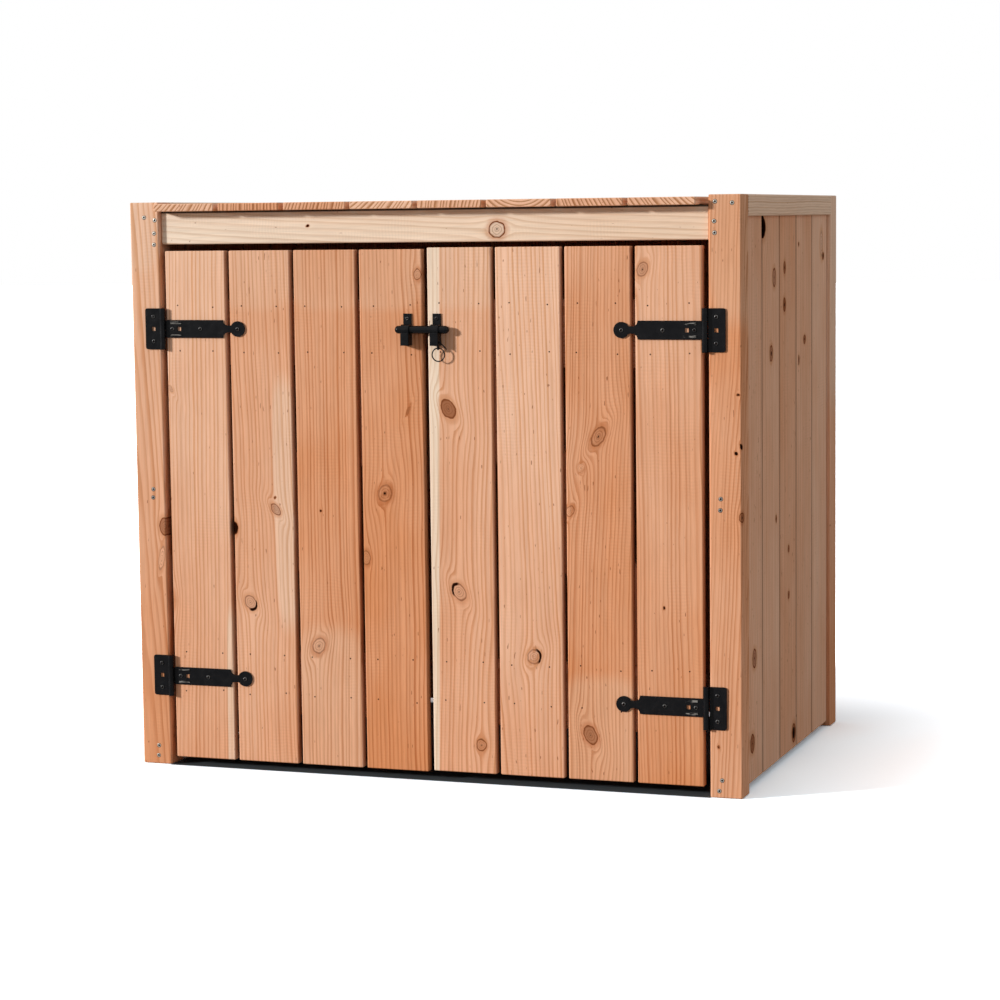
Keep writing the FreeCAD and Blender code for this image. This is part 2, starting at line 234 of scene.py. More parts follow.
def larch_group():
    """Planed larch: a log's growth rings cut through by the board's own faces.

    The rings are real rings round a pith, so a face shows them as straight or arched lines
    and a sawn end as arcs. Soft pale earlywood shades into hard dark latewood and stops
    sharply. Fine fibre streaks run along the grain over all of it.
    """
    tree, given = new_group(
        "Planed larch", {"Color": ("Colour",), "Float": ("Roughness",), "Vector": ("Normal",)},
        Vector=("Place", "Rings", "Pith", "Knot look"),
        Float=("Taper", "Ring width", "Bold", "Shade", "Sapwood", "Nearest knot", "Bark",
               "End grain", "Edge", "Seed"))
    seed = add(tree, JOIN, {i: given["Seed"] for i in range(3)})
    noise = {}
    for label, (cells, layers, roughness) in WOOD_NOISES.items():
        at = add(tree, VECTOR, {0: given["Place"], 1: cells, 2: seed}, **TIMES_PLUS)
        noise[label] = add(tree, NOISE, {"Vector": at, "Scale": 1.0, "Detail": layers,
                                         "Roughness": roughness})

    # The log isn't a straight cylinder: its rings wander and ripple by millimetres
    rings_at = given["Rings"]
    for label, reach in (("wander", 18 * MM), ("ripple", 2.2 * MM)):
        off = add(tree, VECTOR, {0: noise[label].outputs["Color"], 1: MEAN}, operation="SUBTRACT")
        rings_at = add(tree, VECTOR, {0: off, 1: (reach, reach, 0.0), 2: rings_at}, **TIMES_PLUS)
    from_pith = add(tree, VECTOR, {0: rings_at, 1: given["Pith"]}, operation="SUBTRACT")
    across_log = add(tree, VECTOR, {0: from_pith, 1: ACROSS_AND_THROUGH}, operation="MULTIPLY")
    radius = add(tree, VECTOR, {0: across_log}, operation="LENGTH")

    # A log tapers, so rings near its face run out in tall arches
    height = add(tree, SPLIT, {0: given["Place"]}).outputs[2]
    tapered = add(tree, MATH, {0: height, 1: given["Taper"], 2: radius}, **TIMES_PLUS)
    counted = add(tree, MATH, {0: tapered, 1: given["Ring width"]}, operation="DIVIDE")
    uneven = add(tree, NOISE, {"W": counted, "Scale": 0.45, "Detail": 1.0}, noise_dimensions="1D")
    years = add(tree, MATH, {0: uneven, 1: 1.1, 2: counted}, **TIMES_PLUS)
    season = add(tree, MATH, {0: years}, operation="FRACT")
    year = add(tree, MATH, {0: years}, operation="FLOOR")
    year_seed = add(tree, MATH, {0: year, 1: given["Seed"]}, operation="ADD")
    vigour = add(tree, CHANCE, {"W": year_seed}, noise_dimensions="1D")
    ripening = add(tree, RANGE, {"Value": season, "From Min": 0.38, "From Max": 0.86}, **SMOOTH)
    winter = add(tree, RANGE, {"Value": season, "From Min": 1.0, "From Max": 0.93}, **SMOOTH)
    full_line = add(tree, MATH, {0: ripening, 1: winter}, operation="MULTIPLY")
    vigorous = add(tree, RANGE, {"Value": vigour, "To Min": 0.35, "To Max": 0.85})
    bolder = add(tree, MATH, {0: vigorous, 1: given["Bold"]}, operation="MULTIPLY")
    strength = add(tree, MATH, {0: bolder, 1: given["End grain"]}, operation="MAXIMUM")
    latewood = add(tree, MATH, {0: full_line, 1: strength}, operation="MULTIPLY")

    # Resin canals are drawn 3 mm wide where real ones are under 1 mm, so that they show
    flecks = add(tree, RANGE, {"Value": noise["fleck"], "From Min": 0.82, "From Max": 0.86,
                               "To Max": 0.75})

    # The planer's knives leave waves 7 mm long across the grain where the wood chattered
    knives = add(tree, MATH, {0: height, 1: tau / KNIFE_WAVE}, operation="MULTIPLY")
    knife_phase = add(tree, MATH, {0: noise["ripple"], 1: 9.0, 2: knives}, **TIMES_PLUS)
    wave = add(tree, MATH, {0: knife_phase}, operation="SINE")
    patches = add(tree, RANGE, {"Value": noise["chatter"], "From Min": 0.50, "From Max": 0.68,
                                "To Max": 0.022}, **SMOOTH)
    chattered = add(tree, MATH, {0: wave, 1: patches, 2: 1.0}, **TIMES_PLUS)

    # Heartwood from pale to deep, and sapwood, each as earlywood and latewood
    clouded = add(tree, MATH, {0: noise["cloud"], 1: 0.7, 2: -0.35}, **TIMES_PLUS)
    shade = add(tree, MATH, {0: given["Shade"], 1: clouded}, operation="ADD", use_clamp=True)
    earlywood, latewood_colour, sap_early, sap_late = (
        add(tree, MIX, {"Factor": shade, "A": linear(pale), "B": linear(deep)}, **COLOURS)
        for pale, deep in ((PALE_EARLYWOOD, DEEP_EARLYWOOD), (PALE_LATEWOOD, DEEP_LATEWOOD),
                           (SAP_EARLYWOOD, AGED_SAP_EARLYWOOD), (SAP_LATEWOOD, AGED_SAP_LATEWOOD)))
    heartwood = add(tree, MIX, {"Factor": latewood, "A": earlywood, "B": latewood_colour},
                    **COLOURS)
    sapwood = add(tree, MIX, {"Factor": latewood, "A": sap_early, "B": sap_late}, **COLOURS)
    wood = add(tree, MIX, {"Factor": given["Sapwood"], "A": heartwood, "B": sapwood}, **COLOURS)
    flecked = add(tree, MIX, {"Factor": flecks, "A": wood, "B": linear(RESIN)}, **COLOURS)

    # A knot is a branch cut through: fine rings of its own, a dark heart, a thin line round it
    # where its own wood ends, and bark left along one side
    near = given["Nearest knot"]
    look = add(tree, SPLIT, {0: given["Knot look"]})
    halo = add(tree, RANGE, {"Value": near, "From Min": 1.8, "From Max": 1.0, "To Max": 0.55},
               **SMOOTH)
    haloed = add(tree, MIX, {"Factor": halo, "A": flecked, "B": latewood_colour}, **COLOURS)
    inner = add(tree, MATH, {0: near, 1: KNOT_RINGS}, operation="MULTIPLY")
    inner_season = add(tree, MATH, {0: inner}, operation="FRACT")
    inner_line = add(tree, RANGE, {"Value": inner_season, "From Min": 0.55, "From Max": 0.95,
                                   "To Max": 0.45}, **SMOOTH)
    flesh = add(tree, MIX, {"Factor": look.outputs[1], "A": wood, "B": linear(KNOT_WOOD)},
                **COLOURS)
    branch = add(tree, MIX, {"Factor": inner_line, "A": flesh, "B": linear(KNOT_RING)}, **COLOURS)
    off_line = add(tree, MATH, {0: near, 1: KNOT_LINE_AT}, operation="SUBTRACT")
    beside_line = add(tree, MATH, {0: off_line}, operation="ABSOLUTE")
    thin_line = add(tree, RANGE, {"Value": beside_line, "From Min": 0.11, "From Max": 0.03},
                    **SMOOTH)
    rim = add(tree, MATH, {0: thin_line, 1: look.outputs[0]}, operation="MULTIPLY")
    thick_line = add(tree, RANGE, {"Value": beside_line, "From Min": 0.22, "From Max": 0.10},
                     **SMOOTH)
    barked = add(tree, RANGE, {"Value": given["Bark"], "From Min": 0.25, "From Max": 0.65},
                 **SMOOTH)
    crescent = add(tree, MATH, {0: thick_line, 1: barked}, operation="MULTIPLY")
    off_heart = add(tree, MATH, {0: near, 1: look.outputs[2]}, operation="SUBTRACT")
    heart = add(tree, RANGE, {"Value": off_heart, "From Min": 0.10, "From Max": -0.08}, **SMOOTH)
    dark = add(tree, MATH, {0: crescent, 1: heart}, operation="MAXIMUM")
    in_knot = add(tree, RANGE, {"Value": near, "From Min": 1.03, "From Max": 0.95}, **SMOOTH)
    healed = add(tree, MIX, {"Factor": in_knot, "A": haloed, "B": branch}, **COLOURS)
    lined = add(tree, MIX, {"Factor": rim, "A": healed, "B": linear(KNOT_RING)}, **COLOURS)
    knotted = add(tree, MIX, {"Factor": dark, "A": lined, "B": linear(BARK_AND_SOCKET_SHADE)}, **COLOURS)

    # Light and dark along the fibres, which are drawn 3 mm wide too, and darker where the saw
    # cut across them
    fine = add(tree, MATH, {0: noise["fibre"], 1: 0.36, 2: 0.82}, **TIMES_PLUS)
    broad = add(tree, MATH, {0: noise["streak"], 1: 0.20, 2: 0.90}, **TIMES_PLUS)
    tone = add(tree, MATH, {0: fine, 1: broad}, operation="MULTIPLY")
    waved = add(tree, MATH, {0: tone, 1: chattered}, operation="MULTIPLY")
    hard_ends = add(tree, MATH, {0: given["End grain"], 1: latewood}, operation="MULTIPLY")
    sawn = add(tree, MATH, {0: hard_ends, 1: -0.3, 2: 1.0}, **TIMES_PLUS)
    # Edge darkens the boards' long edges in the joints, and the front rail under the roof: painted
    # shade
    edge = add(tree, MATH, {0: given["Edge"], 1: -0.25, 2: 1.0}, **TIMES_PLUS)
    end_grain_and_joint_shade = add(tree, MATH, {0: sawn, 1: edge}, operation="MULTIPLY")
    brightness = add(tree, MATH, {0: waved, 1: end_grain_and_joint_shade}, operation="MULTIPLY")
    colour = add(tree, VECTOR, {0: knotted, "Scale": brightness}, operation="SCALE")

    # Hard latewood planes smoother than the soft wood between, which is furred by the knives
    smoother = add(tree, MATH, {0: latewood, 1: -0.10, 2: 0.62}, **TIMES_PLUS)
    roughness = add(tree, MATH, {0: noise["fibre"], 1: 0.10, 2: smoother}, **TIMES_PLUS)
    furred = add(tree, MATH, {0: latewood, 1: 0.35, 2: noise["fibre"]}, **TIMES_PLUS)
    cracked = add(tree, MATH, {0: dark, 1: -0.5, 2: furred}, **TIMES_PLUS)
    relief = add(tree, BUMP, {"Strength": 0.4, "Distance": WOOD_RELIEF, "Height": cracked})
    add(tree, GROUP_END, {"Colour": colour, "Roughness": roughness, "Normal": relief})
    return tree


KNOT = knot_group()
SAPWOOD = sapwood_group()
LARCH = larch_group()

# For a grain direction: which of x, y, z lies across the seen face, through it and along the grain
AXES = {"X": (2, 1, 0), "Y": (0, 2, 1), "Z": (0, 1, 2), "side": (1, 0, 2)}

# A knot: millimetres across from the board's middle and up from its foot, half width and
# half height, how dark the line round it is, how brown its flesh, how wide its dark heart,
# with 1 for a hole, whose darkness is painted shade, degrees that its long way leans to the
# right, how dark the bark left on it is, where that bark is thickest, in degrees from the right
# up, and how deep it goes, in millimetres, where it doesn't go right through
Knot = namedtuple("Knot", "across up half_width half_height rim brown heart lean bark bark_at "
                  "depth", defaults=(0.5, 0.2, 0.05, 0, 0.0, 0, 1000))

# A pale patch, in the same millimetres, and how pale it is
Pale = namedtuple("Pale", "across up half_width half_height strength", defaults=(0.8,))

# A timber's look: grain direction; shade at its foot and head, from 0, pale, to 1, deep; the
# pith across and behind the face, and the width of a ring, in millimetres; how far the grain
# leans and how much the log tapers, in millimetres a metre; how bold its dark lines are; how
# much is sapwood; its knots and pale patches; and how many boards lie side by side in the node
Timber = namedtuple("Timber", "grain foot head pith_across pith_behind ring lean taper bold sap "
                    "knots pale boards",
                    defaults=("Z", 0.5, 0.4, 60, 50, 6.0, 0, 3, 1.0, 0.0, (), (), 1))


# How dark the painted shade is on the edges of a thin board, where they face their neighbours in
# the joints, on those of a wall board, and in the line along the front rail under the roof. A
# strip
# of the last two shows beside the edge: how far in it begins, and where it is full
EDGE_JOINT_SHADE = 1.0
WALL_JOINT_SHADE = 1.4
ROOF_SHADE_LINE = 3.6
STRIP_REACH = 5 * MM
STRIP_FULL = 3 * MM

# A board thinner than this part of its width has its edges drawn darker than its face, as
# painted shade in its joints
THIN = 0.3

# How far a knot's outline can wander, from end to end, how many waves it has to the metre, and
# how many radii away the nearest knot is where there is none
RAGGED_BY = 6 * MM
RAGGED_WAVES = 75.0
NO_KNOT = 9.0

# What sets the boards apart that share a node: metres along the log from one to the next, and
# the most that the pith lies aside and that the shade differs
LOG_STEP = 3.7
PITH_ASIDE = 110 * MM
OTHER_SHADE = 0.3


def planed_larch(node, timber):
    """Planed, untreated larch of one board, as it comes from the planer: dry, matt and warm.

    Dry fibre scatters the light, so it has no gloss, not even in a raking view over the roof.
    """
    material, tree, shader = new_surface("planed_larch_" + node, Specular_IOR_Level=0.0)
    low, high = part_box(node)
    across, through, along = AXES[timber.grain]
    face = high if timber.grain == "side" and low[through] > 0 else low
    width = (high[across] - low[across]) / timber.boards
    length = high[along] - low[along]
    foot = Vector((low[across] + width / 2, face[through], low[along]))
    coordinates = add(tree, COORDINATES)
    parts = add(tree, SPLIT, {0: coordinates.outputs["Object"]}).outputs
    swapped = add(tree, JOIN, {0: parts[across], 1: parts[through], 2: parts[along]})
    place = add(tree, VECTOR, {0: swapped, 1: foot}, operation="SUBTRACT")
    shade_shift = 0.0
    if timber.boards > 1:
        first = add(tree, SPLIT, {0: place})
        counted = add(tree, MATH, {0: first.outputs[0], 1: width}, operation="DIVIDE")
        board = add(tree, MATH, {0: counted}, operation="ROUND")
        chosen = add(tree, CHANCE, {"W": board}, noise_dimensions="1D")
        other_log = add(tree, RANGE, {"Value": chosen, "To Min": -PITH_ASIDE,
                                      "To Max": PITH_ASIDE})
        step = add(tree, MATH, {0: board, 1: -width, 2: other_log}, **TIMES_PLUS)
        apart = add(tree, MATH, {0: board, 1: LOG_STEP}, operation="MULTIPLY")
        move = add(tree, JOIN, {0: step, 2: apart})
        place = add(tree, VECTOR, {0: place, 1: move}, operation="ADD")
        shade_shift = add(tree, RANGE, {"Value": chosen, "To Min": -OTHER_SHADE,
                                        "To Max": OTHER_SHADE})
    off_middle, _, height = add(tree, SPLIT, {0: place}).outputs
    shade = add(tree, RANGE, {"Value": height, "From Max": length, "To Min": timber.foot,
                              "To Max": timber.head}, clamp=False)
    shade = add(tree, MATH, {0: shade, 1: shade_shift}, operation="ADD", use_clamp=True)

    facing = add(tree, SPLIT, {0: coordinates.outputs["Normal"]}).outputs
    across_grain = add(tree, MATH, {0: facing[along]}, operation="ABSOLUTE")
    end_grain = add(tree, RANGE, {"Value": across_grain, "From Min": 0.6, "From Max": 0.9})

    # A thin board's long edges, where they face their neighbours in the joints, are drawn darker
    # than its face as painted shade, but for the roof's. On the walls' boards the painted shade
    # also shows as a dark strip of the face beside each joint
    strip = {"From Min": width / 2 - STRIP_REACH, "From Max": width / 2 - STRIP_FULL}
    edge = 0.0
    if high[through] - low[through] < THIN * width and timber.grain != "Y":
        # sawn marks the walls' boards, which get the painted shade strip beside their joints
        sawn = timber.grain == "side"
        across_board = add(tree, MATH, {0: facing[across]}, operation="ABSOLUTE")
        edge = add(tree, RANGE, {"Value": across_board, "From Min": 0.8, "From Max": 0.98,
                                 "To Max": WALL_JOINT_SHADE if sawn else EDGE_JOINT_SHADE})
        if sawn:
            aside = add(tree, MATH, {0: off_middle}, operation="ABSOLUTE")
            joint_shade_strip = add(tree, RANGE, {"Value": aside, "To Max": WALL_JOINT_SHADE, **strip})
            edge = add(tree, MATH, {0: edge, 1: joint_shade_strip}, operation="MAXIMUM")

    # The roof's painted shade: a dark line along the top of the front rail, under the roof boards
    if node == "front_top_rail":
        edge = add(tree, RANGE, {"Value": off_middle, "To Max": ROOF_SHADE_LINE, **strip})

    slant = add(tree, MATH, {0: height, 1: timber.lean * MM}, operation="MULTIPLY")
    leaning = add(tree, JOIN, {0: slant})
    leaned = add(tree, VECTOR, {0: place, 1: leaning}, operation="ADD")
    rings = leaned

    # A knot's outline is ragged by a few millimetres, where the fibres were torn or sealed
    ragged = add(tree, NOISE, {"Vector": place, "Scale": RAGGED_WAVES, "Detail": 2.0})
    torn = add(tree, VECTOR, {0: ragged.outputs["Color"], 1: MEAN}, operation="SUBTRACT")
    rough_place = add(tree, VECTOR, {0: torn, 1: (RAGGED_BY, 0.0, RAGGED_BY), 2: place},
                      **TIMES_PLUS)
    nearest = NO_KNOT
    look = (0.0, 0.0, 0.0)
    bark = 0.0
    for knot in timber.knots:
        lean = radians(knot.lean)
        short, tall = knot.half_width * MM, knot.half_height * MM
        bark_at = radians(knot.bark_at) + lean
        found = add(tree, GROUP, {
            "Place": rough_place, "Rings": rings, "Nearest": nearest, "Look": look, "Bark": bark,
            "Centre": (knot.across * MM, 0.0, knot.up * MM),
            "Short way": (cos(lean) / short, 0.0, -sin(lean) / short),
            "Inward": (0.0, 1 / (knot.depth * MM), 0.0),
            "Long way": (sin(lean) / tall, 0.0, cos(lean) / tall),
            "This look": (knot.rim, knot.brown, knot.heart),
            "Bark way": (knot.bark * cos(bark_at), 0.0, knot.bark * sin(bark_at))},
            node_tree=KNOT)
        rings, look, nearest, bark = found.outputs
    sap = timber.sap
    for patch in timber.pale:
        sap = add(tree, GROUP, {
            "Place": leaned, "Amount": sap, "Centre": (patch.across * MM, 0.0, patch.up * MM),
            "Half size": (patch.half_width * MM, 1.0, patch.half_height * MM),
            "Strength": patch.strength}, node_tree=SAPWOOD)

    larch = add(tree, GROUP, {
        "Place": place, "Rings": rings, "Taper": timber.taper * MM, "Bold": timber.bold,
        "Pith": (timber.pith_across * MM, timber.pith_behind * MM, 0.0),
        "Ring width": timber.ring * MM, "Shade": shade, "Sapwood": sap,
        "Nearest knot": nearest, "Knot look": look, "Bark": bark, "End grain": end_grain,
        "Edge": edge, "Seed": random.Random(node).uniform(0, 90)}, node_tree=LARCH)
    colour, roughness, relief = larch.outputs
    plug(tree, shader, {"Base Color": colour, "Roughness": roughness, "Normal": relief})
    return material


BACK_BOARDS = 8


def plain_timber(node, grain, **look):
    """A timber with no look of its own in the list: its rings and shade are drawn by its name."""
    chance = random.Random("timber " + node)
    drawn = dict(grain=grain, foot=chance.uniform(0.4, 0.75), head=chance.uniform(0.3, 0.65),
                 pith_across=chance.choice((-1, 1)) * chance.uniform(10, 130),
                 pith_behind=chance.uniform(60, 180), ring=chance.uniform(4.5, 7.0),
                 boards=BACK_BOARDS if node == "back_boards" else 1)
    drawn.update(look)
    return Timber(**drawn)


# The walls' boards that show have broad faint rings
WALL = dict(grain="side", bold=0.5, ring=14)

# The pale patch at the heads of four door boards, Pale(0, 1080, 90, 110), is a painted sheen of
# light on the doors' heads
TIMBERS = {
    "left_door_board_1": Timber(
        foot=0.60, head=0.02, pith_across=190, pith_behind=45, ring=9.0, lean=-10, taper=6,
        knots=(Knot(-64, 803, 4, 9, 0.4, 0.3, 0.0, -35), Knot(-87, 344, 19, 24, 0.2)),
        pale=(Pale(62, 100, 9, 230, 0.6),)),
    "left_door_board_2": Timber(
        foot=0.45, head=0.50, pith_across=-170, pith_behind=55, ring=8.5, lean=12,
        knots=(Knot(28, 548, 9, 15, 0.8, 0.5, 0.0, -38), Knot(27, 573, 3, 3, 0.5, 1.0, 0.3),
               Knot(-70, 506, 9, 15, 1.0, 1.0, 0.9),
               Knot(-35, 346, 13, 17, 0.6, 0.25, 0.05, -30, 1.0, -45)),
        pale=(Pale(58, 560, 27, 270, 0.4), Pale(0, 1080, 90, 110, 0.15))),
    "left_door_board_3": Timber(
        foot=0.85, head=0.68, pith_across=-190, pith_behind=50, ring=8.0, lean=-8,
        knots=(Knot(-27, 258, 14, 18, 0.6, 0.15, 0.1, 30), Knot(-17, 548, 3, 3, 0.6, 1.0, 0.7)),
        pale=(Pale(0, 80, 90, 220, 0.28), Pale(0, 1080, 90, 110, 0.15))),
    "left_door_board_4": Timber(
        foot=1.0, head=0.75, pith_across=150, pith_behind=70, ring=8.5, lean=14,
        knots=(Knot(61, 1046, 8, 12, 0.8, 0.2, 0.0), Knot(-19, 588, 16, 19, 0.5, 0.20, 0.16, 20),
               Knot(-64, 450, 10, 15, 0.6, 0.2, 0.0), Knot(35, 762, 3, 9, 0.4, 0.5, 0.0, 25)),
        pale=(Pale(0, 1080, 90, 110, 0.2),)),
    "right_door_board_1": Timber(
        foot=0.50, head=0.35, pith_across=130, pith_behind=60, ring=9.0, lean=-14, taper=10,
        knots=(Knot(-27, 765, 15, 22, 0.8, 0.85, 0.05, -30),
               Knot(-8, 382, 14, 20, 0.7, 0.2, 0.05, -30, 1.0, 150),
               Knot(37, 60, 11, 13, 0.9, 0.2, 0.1, 0, 0.4, 90)),
        pale=(Pale(-74, 600, 17, 1400, 1.0), Pale(0, 1080, 90, 110, 0.2))),
    "right_door_board_2": Timber(
        foot=0.46, head=0.04, pith_across=-110, pith_behind=90, ring=7.5, lean=18, taper=8,
        knots=(Knot(6, 252, 15, 16, 0.5, 0.2, 0.0, 30, 1.0, 10),)),
    "right_door_board_3": Timber(
        foot=1.0, head=0.58, pith_across=150, pith_behind=70, ring=7.0, lean=-16,
        knots=(Knot(0, 712, 13, 23, 0.7, 0.25, 0.1, 32),
               Knot(-62, 558, 9, 12, 0.6, 0.1, 0.05, 25), Knot(-38, 646, 8, 9, 0.1, 0.0),
               Knot(-22, 94, 14, 21, 0.8, 0.75, 0.05, -25)),
        pale=(Pale(0, 60, 90, 160, 0.28),)),
    "right_door_board_4": Timber(
        foot=0.95, head=0.32, pith_across=120, pith_behind=90, ring=7.0, lean=20,
        knots=(Knot(-54, 1051, 11, 16, 0.5, 0.3, 0.12, 25), Knot(-13, 364, 3, 4, 0.6, 1.0, 0.7))),
    "front_left_post": Timber(
        foot=0.88, head=0.20, pith_across=-22, pith_behind=34, ring=10.0, lean=22, taper=30,
        bold=1.1,
        knots=(Knot(31, 522, 13, 20, 0.9, 0.75, 0.0), Knot(22, 453, 7, 27, 0.5, 0.0, -0.2, 10)),
        pale=(Pale(0, 1200, 60, 130, 0.2),)),
    "front_right_post": Timber(
        foot=0.66, head=0.88, pith_across=70, pith_behind=50, ring=7.0, lean=-25, taper=22,
        bold=0.95,
        knots=(Knot(27, 821, 4, 3, 0.6, 1.0, 0.6, depth=6),
               Knot(33, 717, 3, 6, 1.0, 1.0, 1.0, -20, depth=5),
               Knot(22, 703, 3, 4, 1.0, 1.0, 1.0, -30, depth=5),
               Knot(36, 574, 8, 11, 1.0, 0.8, 0.4, depth=16),
               Knot(-16, 104, 3, 4, 0.6, 1.0, 0.4, -20)),
        pale=(Pale(0, 1190, 60, 230, 0.27),)),
    "front_top_rail": Timber(
        grain="X", foot=0.05, head=0.80, pith_across=-95, pith_behind=60, ring=11.0, lean=30,
        taper=20, bold=0.8, sap=1.0,
        knots=(Knot(-10, 764, 17, 18, 1.0, 0.25, 0.08), Knot(1, 342, 3, 4, 0.6, 1.0, 0.7))),
    # The walls' first boards are drawn paler at the foot than at the head, partly their own tone
    # and partly painted light where the floor's bounce falls on them
    "right_side_board_1": Timber(
        **WALL, foot=0.25, head=0.45, pith_across=190,
        knots=(Knot(7, 254, 17, 20, 1.0, 0.7, 0.1), Knot(-12, 79, 18, 20, 1.0, 0.9, 0.1))),
    "right_side_board_2": Timber(
        **WALL, foot=0.25, head=0.42, pith_across=-190,
        knots=(Knot(30, 1035, 15, 20, 1.0, 0.6, 0.1), Knot(3, 877, 14, 17, 1.0, 0.7, 0.3),
               # The two knots drawn black at its head darken the face round the knot hole in its
               # edge: painted shade of the hole, and the bark round it
               Knot(45, 524, 6, 9, 1.0, 1.0, 0.3), Knot(-80, 1140, 34, 24, 1.0, 1.0, 1.0),
               Knot(-78, 1165, 13, 34, 1.0, 1.0, 1.0))),
    "right_side_board_3": Timber(
        **WALL, foot=0.50, head=0.62, pith_across=200,
        knots=(Knot(-30, 1054, 10, 13, 1.0, 0.9, 0.2), Knot(-31, 975, 12, 15, 1.0, 1.0, 0.3),
               Knot(6, 446, 8, 8, 1.0, 0.9, 0.2), Knot(6, 345, 8, 9, 1.0, 0.9, 0.2),
               Knot(53, 33, 18, 21, 1.0, 0.9, 0.6))),
    "right_side_board_4": Timber(
        **WALL, foot=0.40, head=0.42, pith_across=-180,
        knots=(Knot(-51, 1102, 5, 5, 1.0, 1.0, 0.4), Knot(5, 893, 12, 10, 1.0, 0.9, 0.2),
               Knot(-50, 850, 6, 12, 1.0, 1.0, 0.4))),
    "right_side_board_5": Timber(
        **WALL, foot=0.30, head=0.10, pith_across=190,
        knots=(Knot(37, 1072, 9, 9, 1.0, 1.0, 0.5), Knot(20, 1100, 14, 30, 0.3, 0.1))),
}

# The roof boards from left to right: the pith across and behind the face, and the front shade
ROOF_PITH = ((-190, 150), (230, 15), (-200, 60), (-170, 170), (220, -30), (0, 75), (170, 90),
             (190, 160))
ROOF_SHADE = (0.1, 0.7, 0.5, 0.1, 0.3, 0.3, 0.4, 0.3)

# Grain direction and look of the plain pieces, by the first of these that is in a node's name
PLAIN_PIECES = (("left_side_board", "side", dict(foot=0.75, head=0.6)),
                ("rear_right_post", "Z",
                 dict(foot=0.8, head=0.0, pale=(Pale(0, 1150, 90, 420, 0.35),))),
                ("rear_top_rail", "X", {}), ("rear_bottom_rail", "X", {}), ("ledge", "X", {}),
                ("bearer", "X", {}), ("top_rail", "Y", dict(sap=0.75)), ("bottom_rail", "Y", {}),
                ("battens", "Y", {}))


def timber_of(node):
    """The look of a wooden node, given or drawn by its name."""
    if node in TIMBERS:
        return TIMBERS[node]
    if node.startswith("roof_board"):
        place = int(node[-1]) - 1
        pith_across, pith_behind = ROOF_PITH[place]
        return plain_timber(node, "Y", foot=ROOF_SHADE[place], head=0.4, ring=8.0,
                            pith_across=pith_across, pith_behind=pith_behind)
    for part, grain, look in PLAIN_PIECES:
        if part in node:
            return plain_timber(node, grain, **look)
    return plain_timber(node, "Z")


# Metal

# Where the faces of the straps' ribs lie, and how near to it is still on a rib, for the painted
# highlight
RIB_FACE = -433.0 * MM
ON_RIB = 0.15 * MM


def coated_metal(name, coat, worn, sheen, gloss=0.5, metallic=0.0):
    """A thin even finish on steel: a faint grain, and patches that dust and handling left.

    On the straps' ribs, which stand proud, a painted highlight lies in streaks along the rib.
    """
    material, tree, shader = new_surface(name, Metallic=metallic, Specular_IOR_Level=gloss)
    place = add(tree, COORDINATES).outputs["Object"]
    grain = add(tree, NOISE, {"Vector": place, "Scale": 900.0, "Detail": 2.0})
    handled = add(tree, NOISE, {"Vector": place, "Scale": 60.0, "Detail": 4.0})
    patches = add(tree, RANGE, {"Value": handled, "From Min": 0.38, "From Max": 0.72,
                                "To Max": 0.35})
    finish = add(tree, MIX, {"Factor": patches, "A": linear(coat), "B": linear(worn)}, **COLOURS)
    # Painted highlight: pale zinc streaks along the faces of the straps' ribs
    depth = add(tree, SPLIT, {0: place}).outputs[1]
    on_rib = add(tree, MATH, {0: depth, 1: RIB_FACE, 2: ON_RIB}, operation="COMPARE")
    along_rib = add(tree, VECTOR, {0: place, 1: (60.0, 60.0, 420.0)}, operation="MULTIPLY")
    rib_streaks = add(tree, NOISE, {"Vector": along_rib, "Scale": 1.0, "Detail": 1.0})
    rib_highlight = add(tree, RANGE, {"Value": rib_streaks, "From Min": 0.50, "From Max": 0.62,
                               "To Max": on_rib})
    colour = add(tree, MIX, {"Factor": rib_highlight, "A": finish, "B": linear(WORN_ZINC_AND_RIB_HIGHLIGHT)}, **COLOURS)
    roughness = add(tree, RANGE, {"Value": handled, "From Min": 0.3, "From Max": 0.7,
                                  "To Min": sheen - 0.06, "To Max": sheen + 0.08})
    relief = add(tree, BUMP, {"Strength": 0.3, "Distance": 0.12 * MM, "Height": grain})
    plug(tree, shader, {"Base Color": colour, "Roughness": roughness, "Normal": relief})
    return material


def torn_fibre():
    """Wood crushed round a driven fastener: a dark matt rim, mottled where the fibres tore."""
    material, tree, shader = new_surface("crushed_wood_fibre", Roughness=0.85,
                                         Specular_IOR_Level=0.0)
    place = add(tree, COORDINATES).outputs["Object"]
    tears = add(tree, NOISE, {"Vector": place, "Scale": 700.0, "Detail": 3.0})
    colour = add(tree, MIX, {"Factor": tears, "A": linear(BARK_AND_SOCKET_SHADE), "B": linear(CRUSHED_FIBRE)},
                 **COLOURS)
    plug(tree, shader, {"Base Color": colour})
    return material


# Black powder coat on pressed steel has a soft satin sheen and hides the metal altogether
BLACK = coated_metal("black_powder_coated_steel", BLACK_COAT, COAT_DUST, 0.22, 0.12)

# Black zinc on a screw's head is thin and greys where the driver turned in it, and the rim is
# rubbed to a brighter grey
BLACK_SCREW = coated_metal("black_zinc_plated_steel", BLACK_COAT, BLACK_ZINC, 0.32, 0.2)
WORN_RIM = coated_metal("worn_zinc_rim", BLACK_ZINC, WORN_ZINC_AND_RIB_HIGHLIGHT, 0.36, 0.5, 1.0)

# Bright zinc plating is pale and cool, with a broad blurred gloss
BRIGHT_SCREW = coated_metal("bright_zinc_plated_steel", BRIGHT_ZINC, WORN_ZINC_AND_RIB_HIGHLIGHT, 0.42, 0.5, 1.0)

# Plating that has dulled is greyer, with less gloss
DULL_SCREW = coated_metal("dull_zinc_plated_steel", WORN_ZINC_AND_RIB_HIGHLIGHT, BLACK_ZINC, 0.55, 0.5, 1.0)

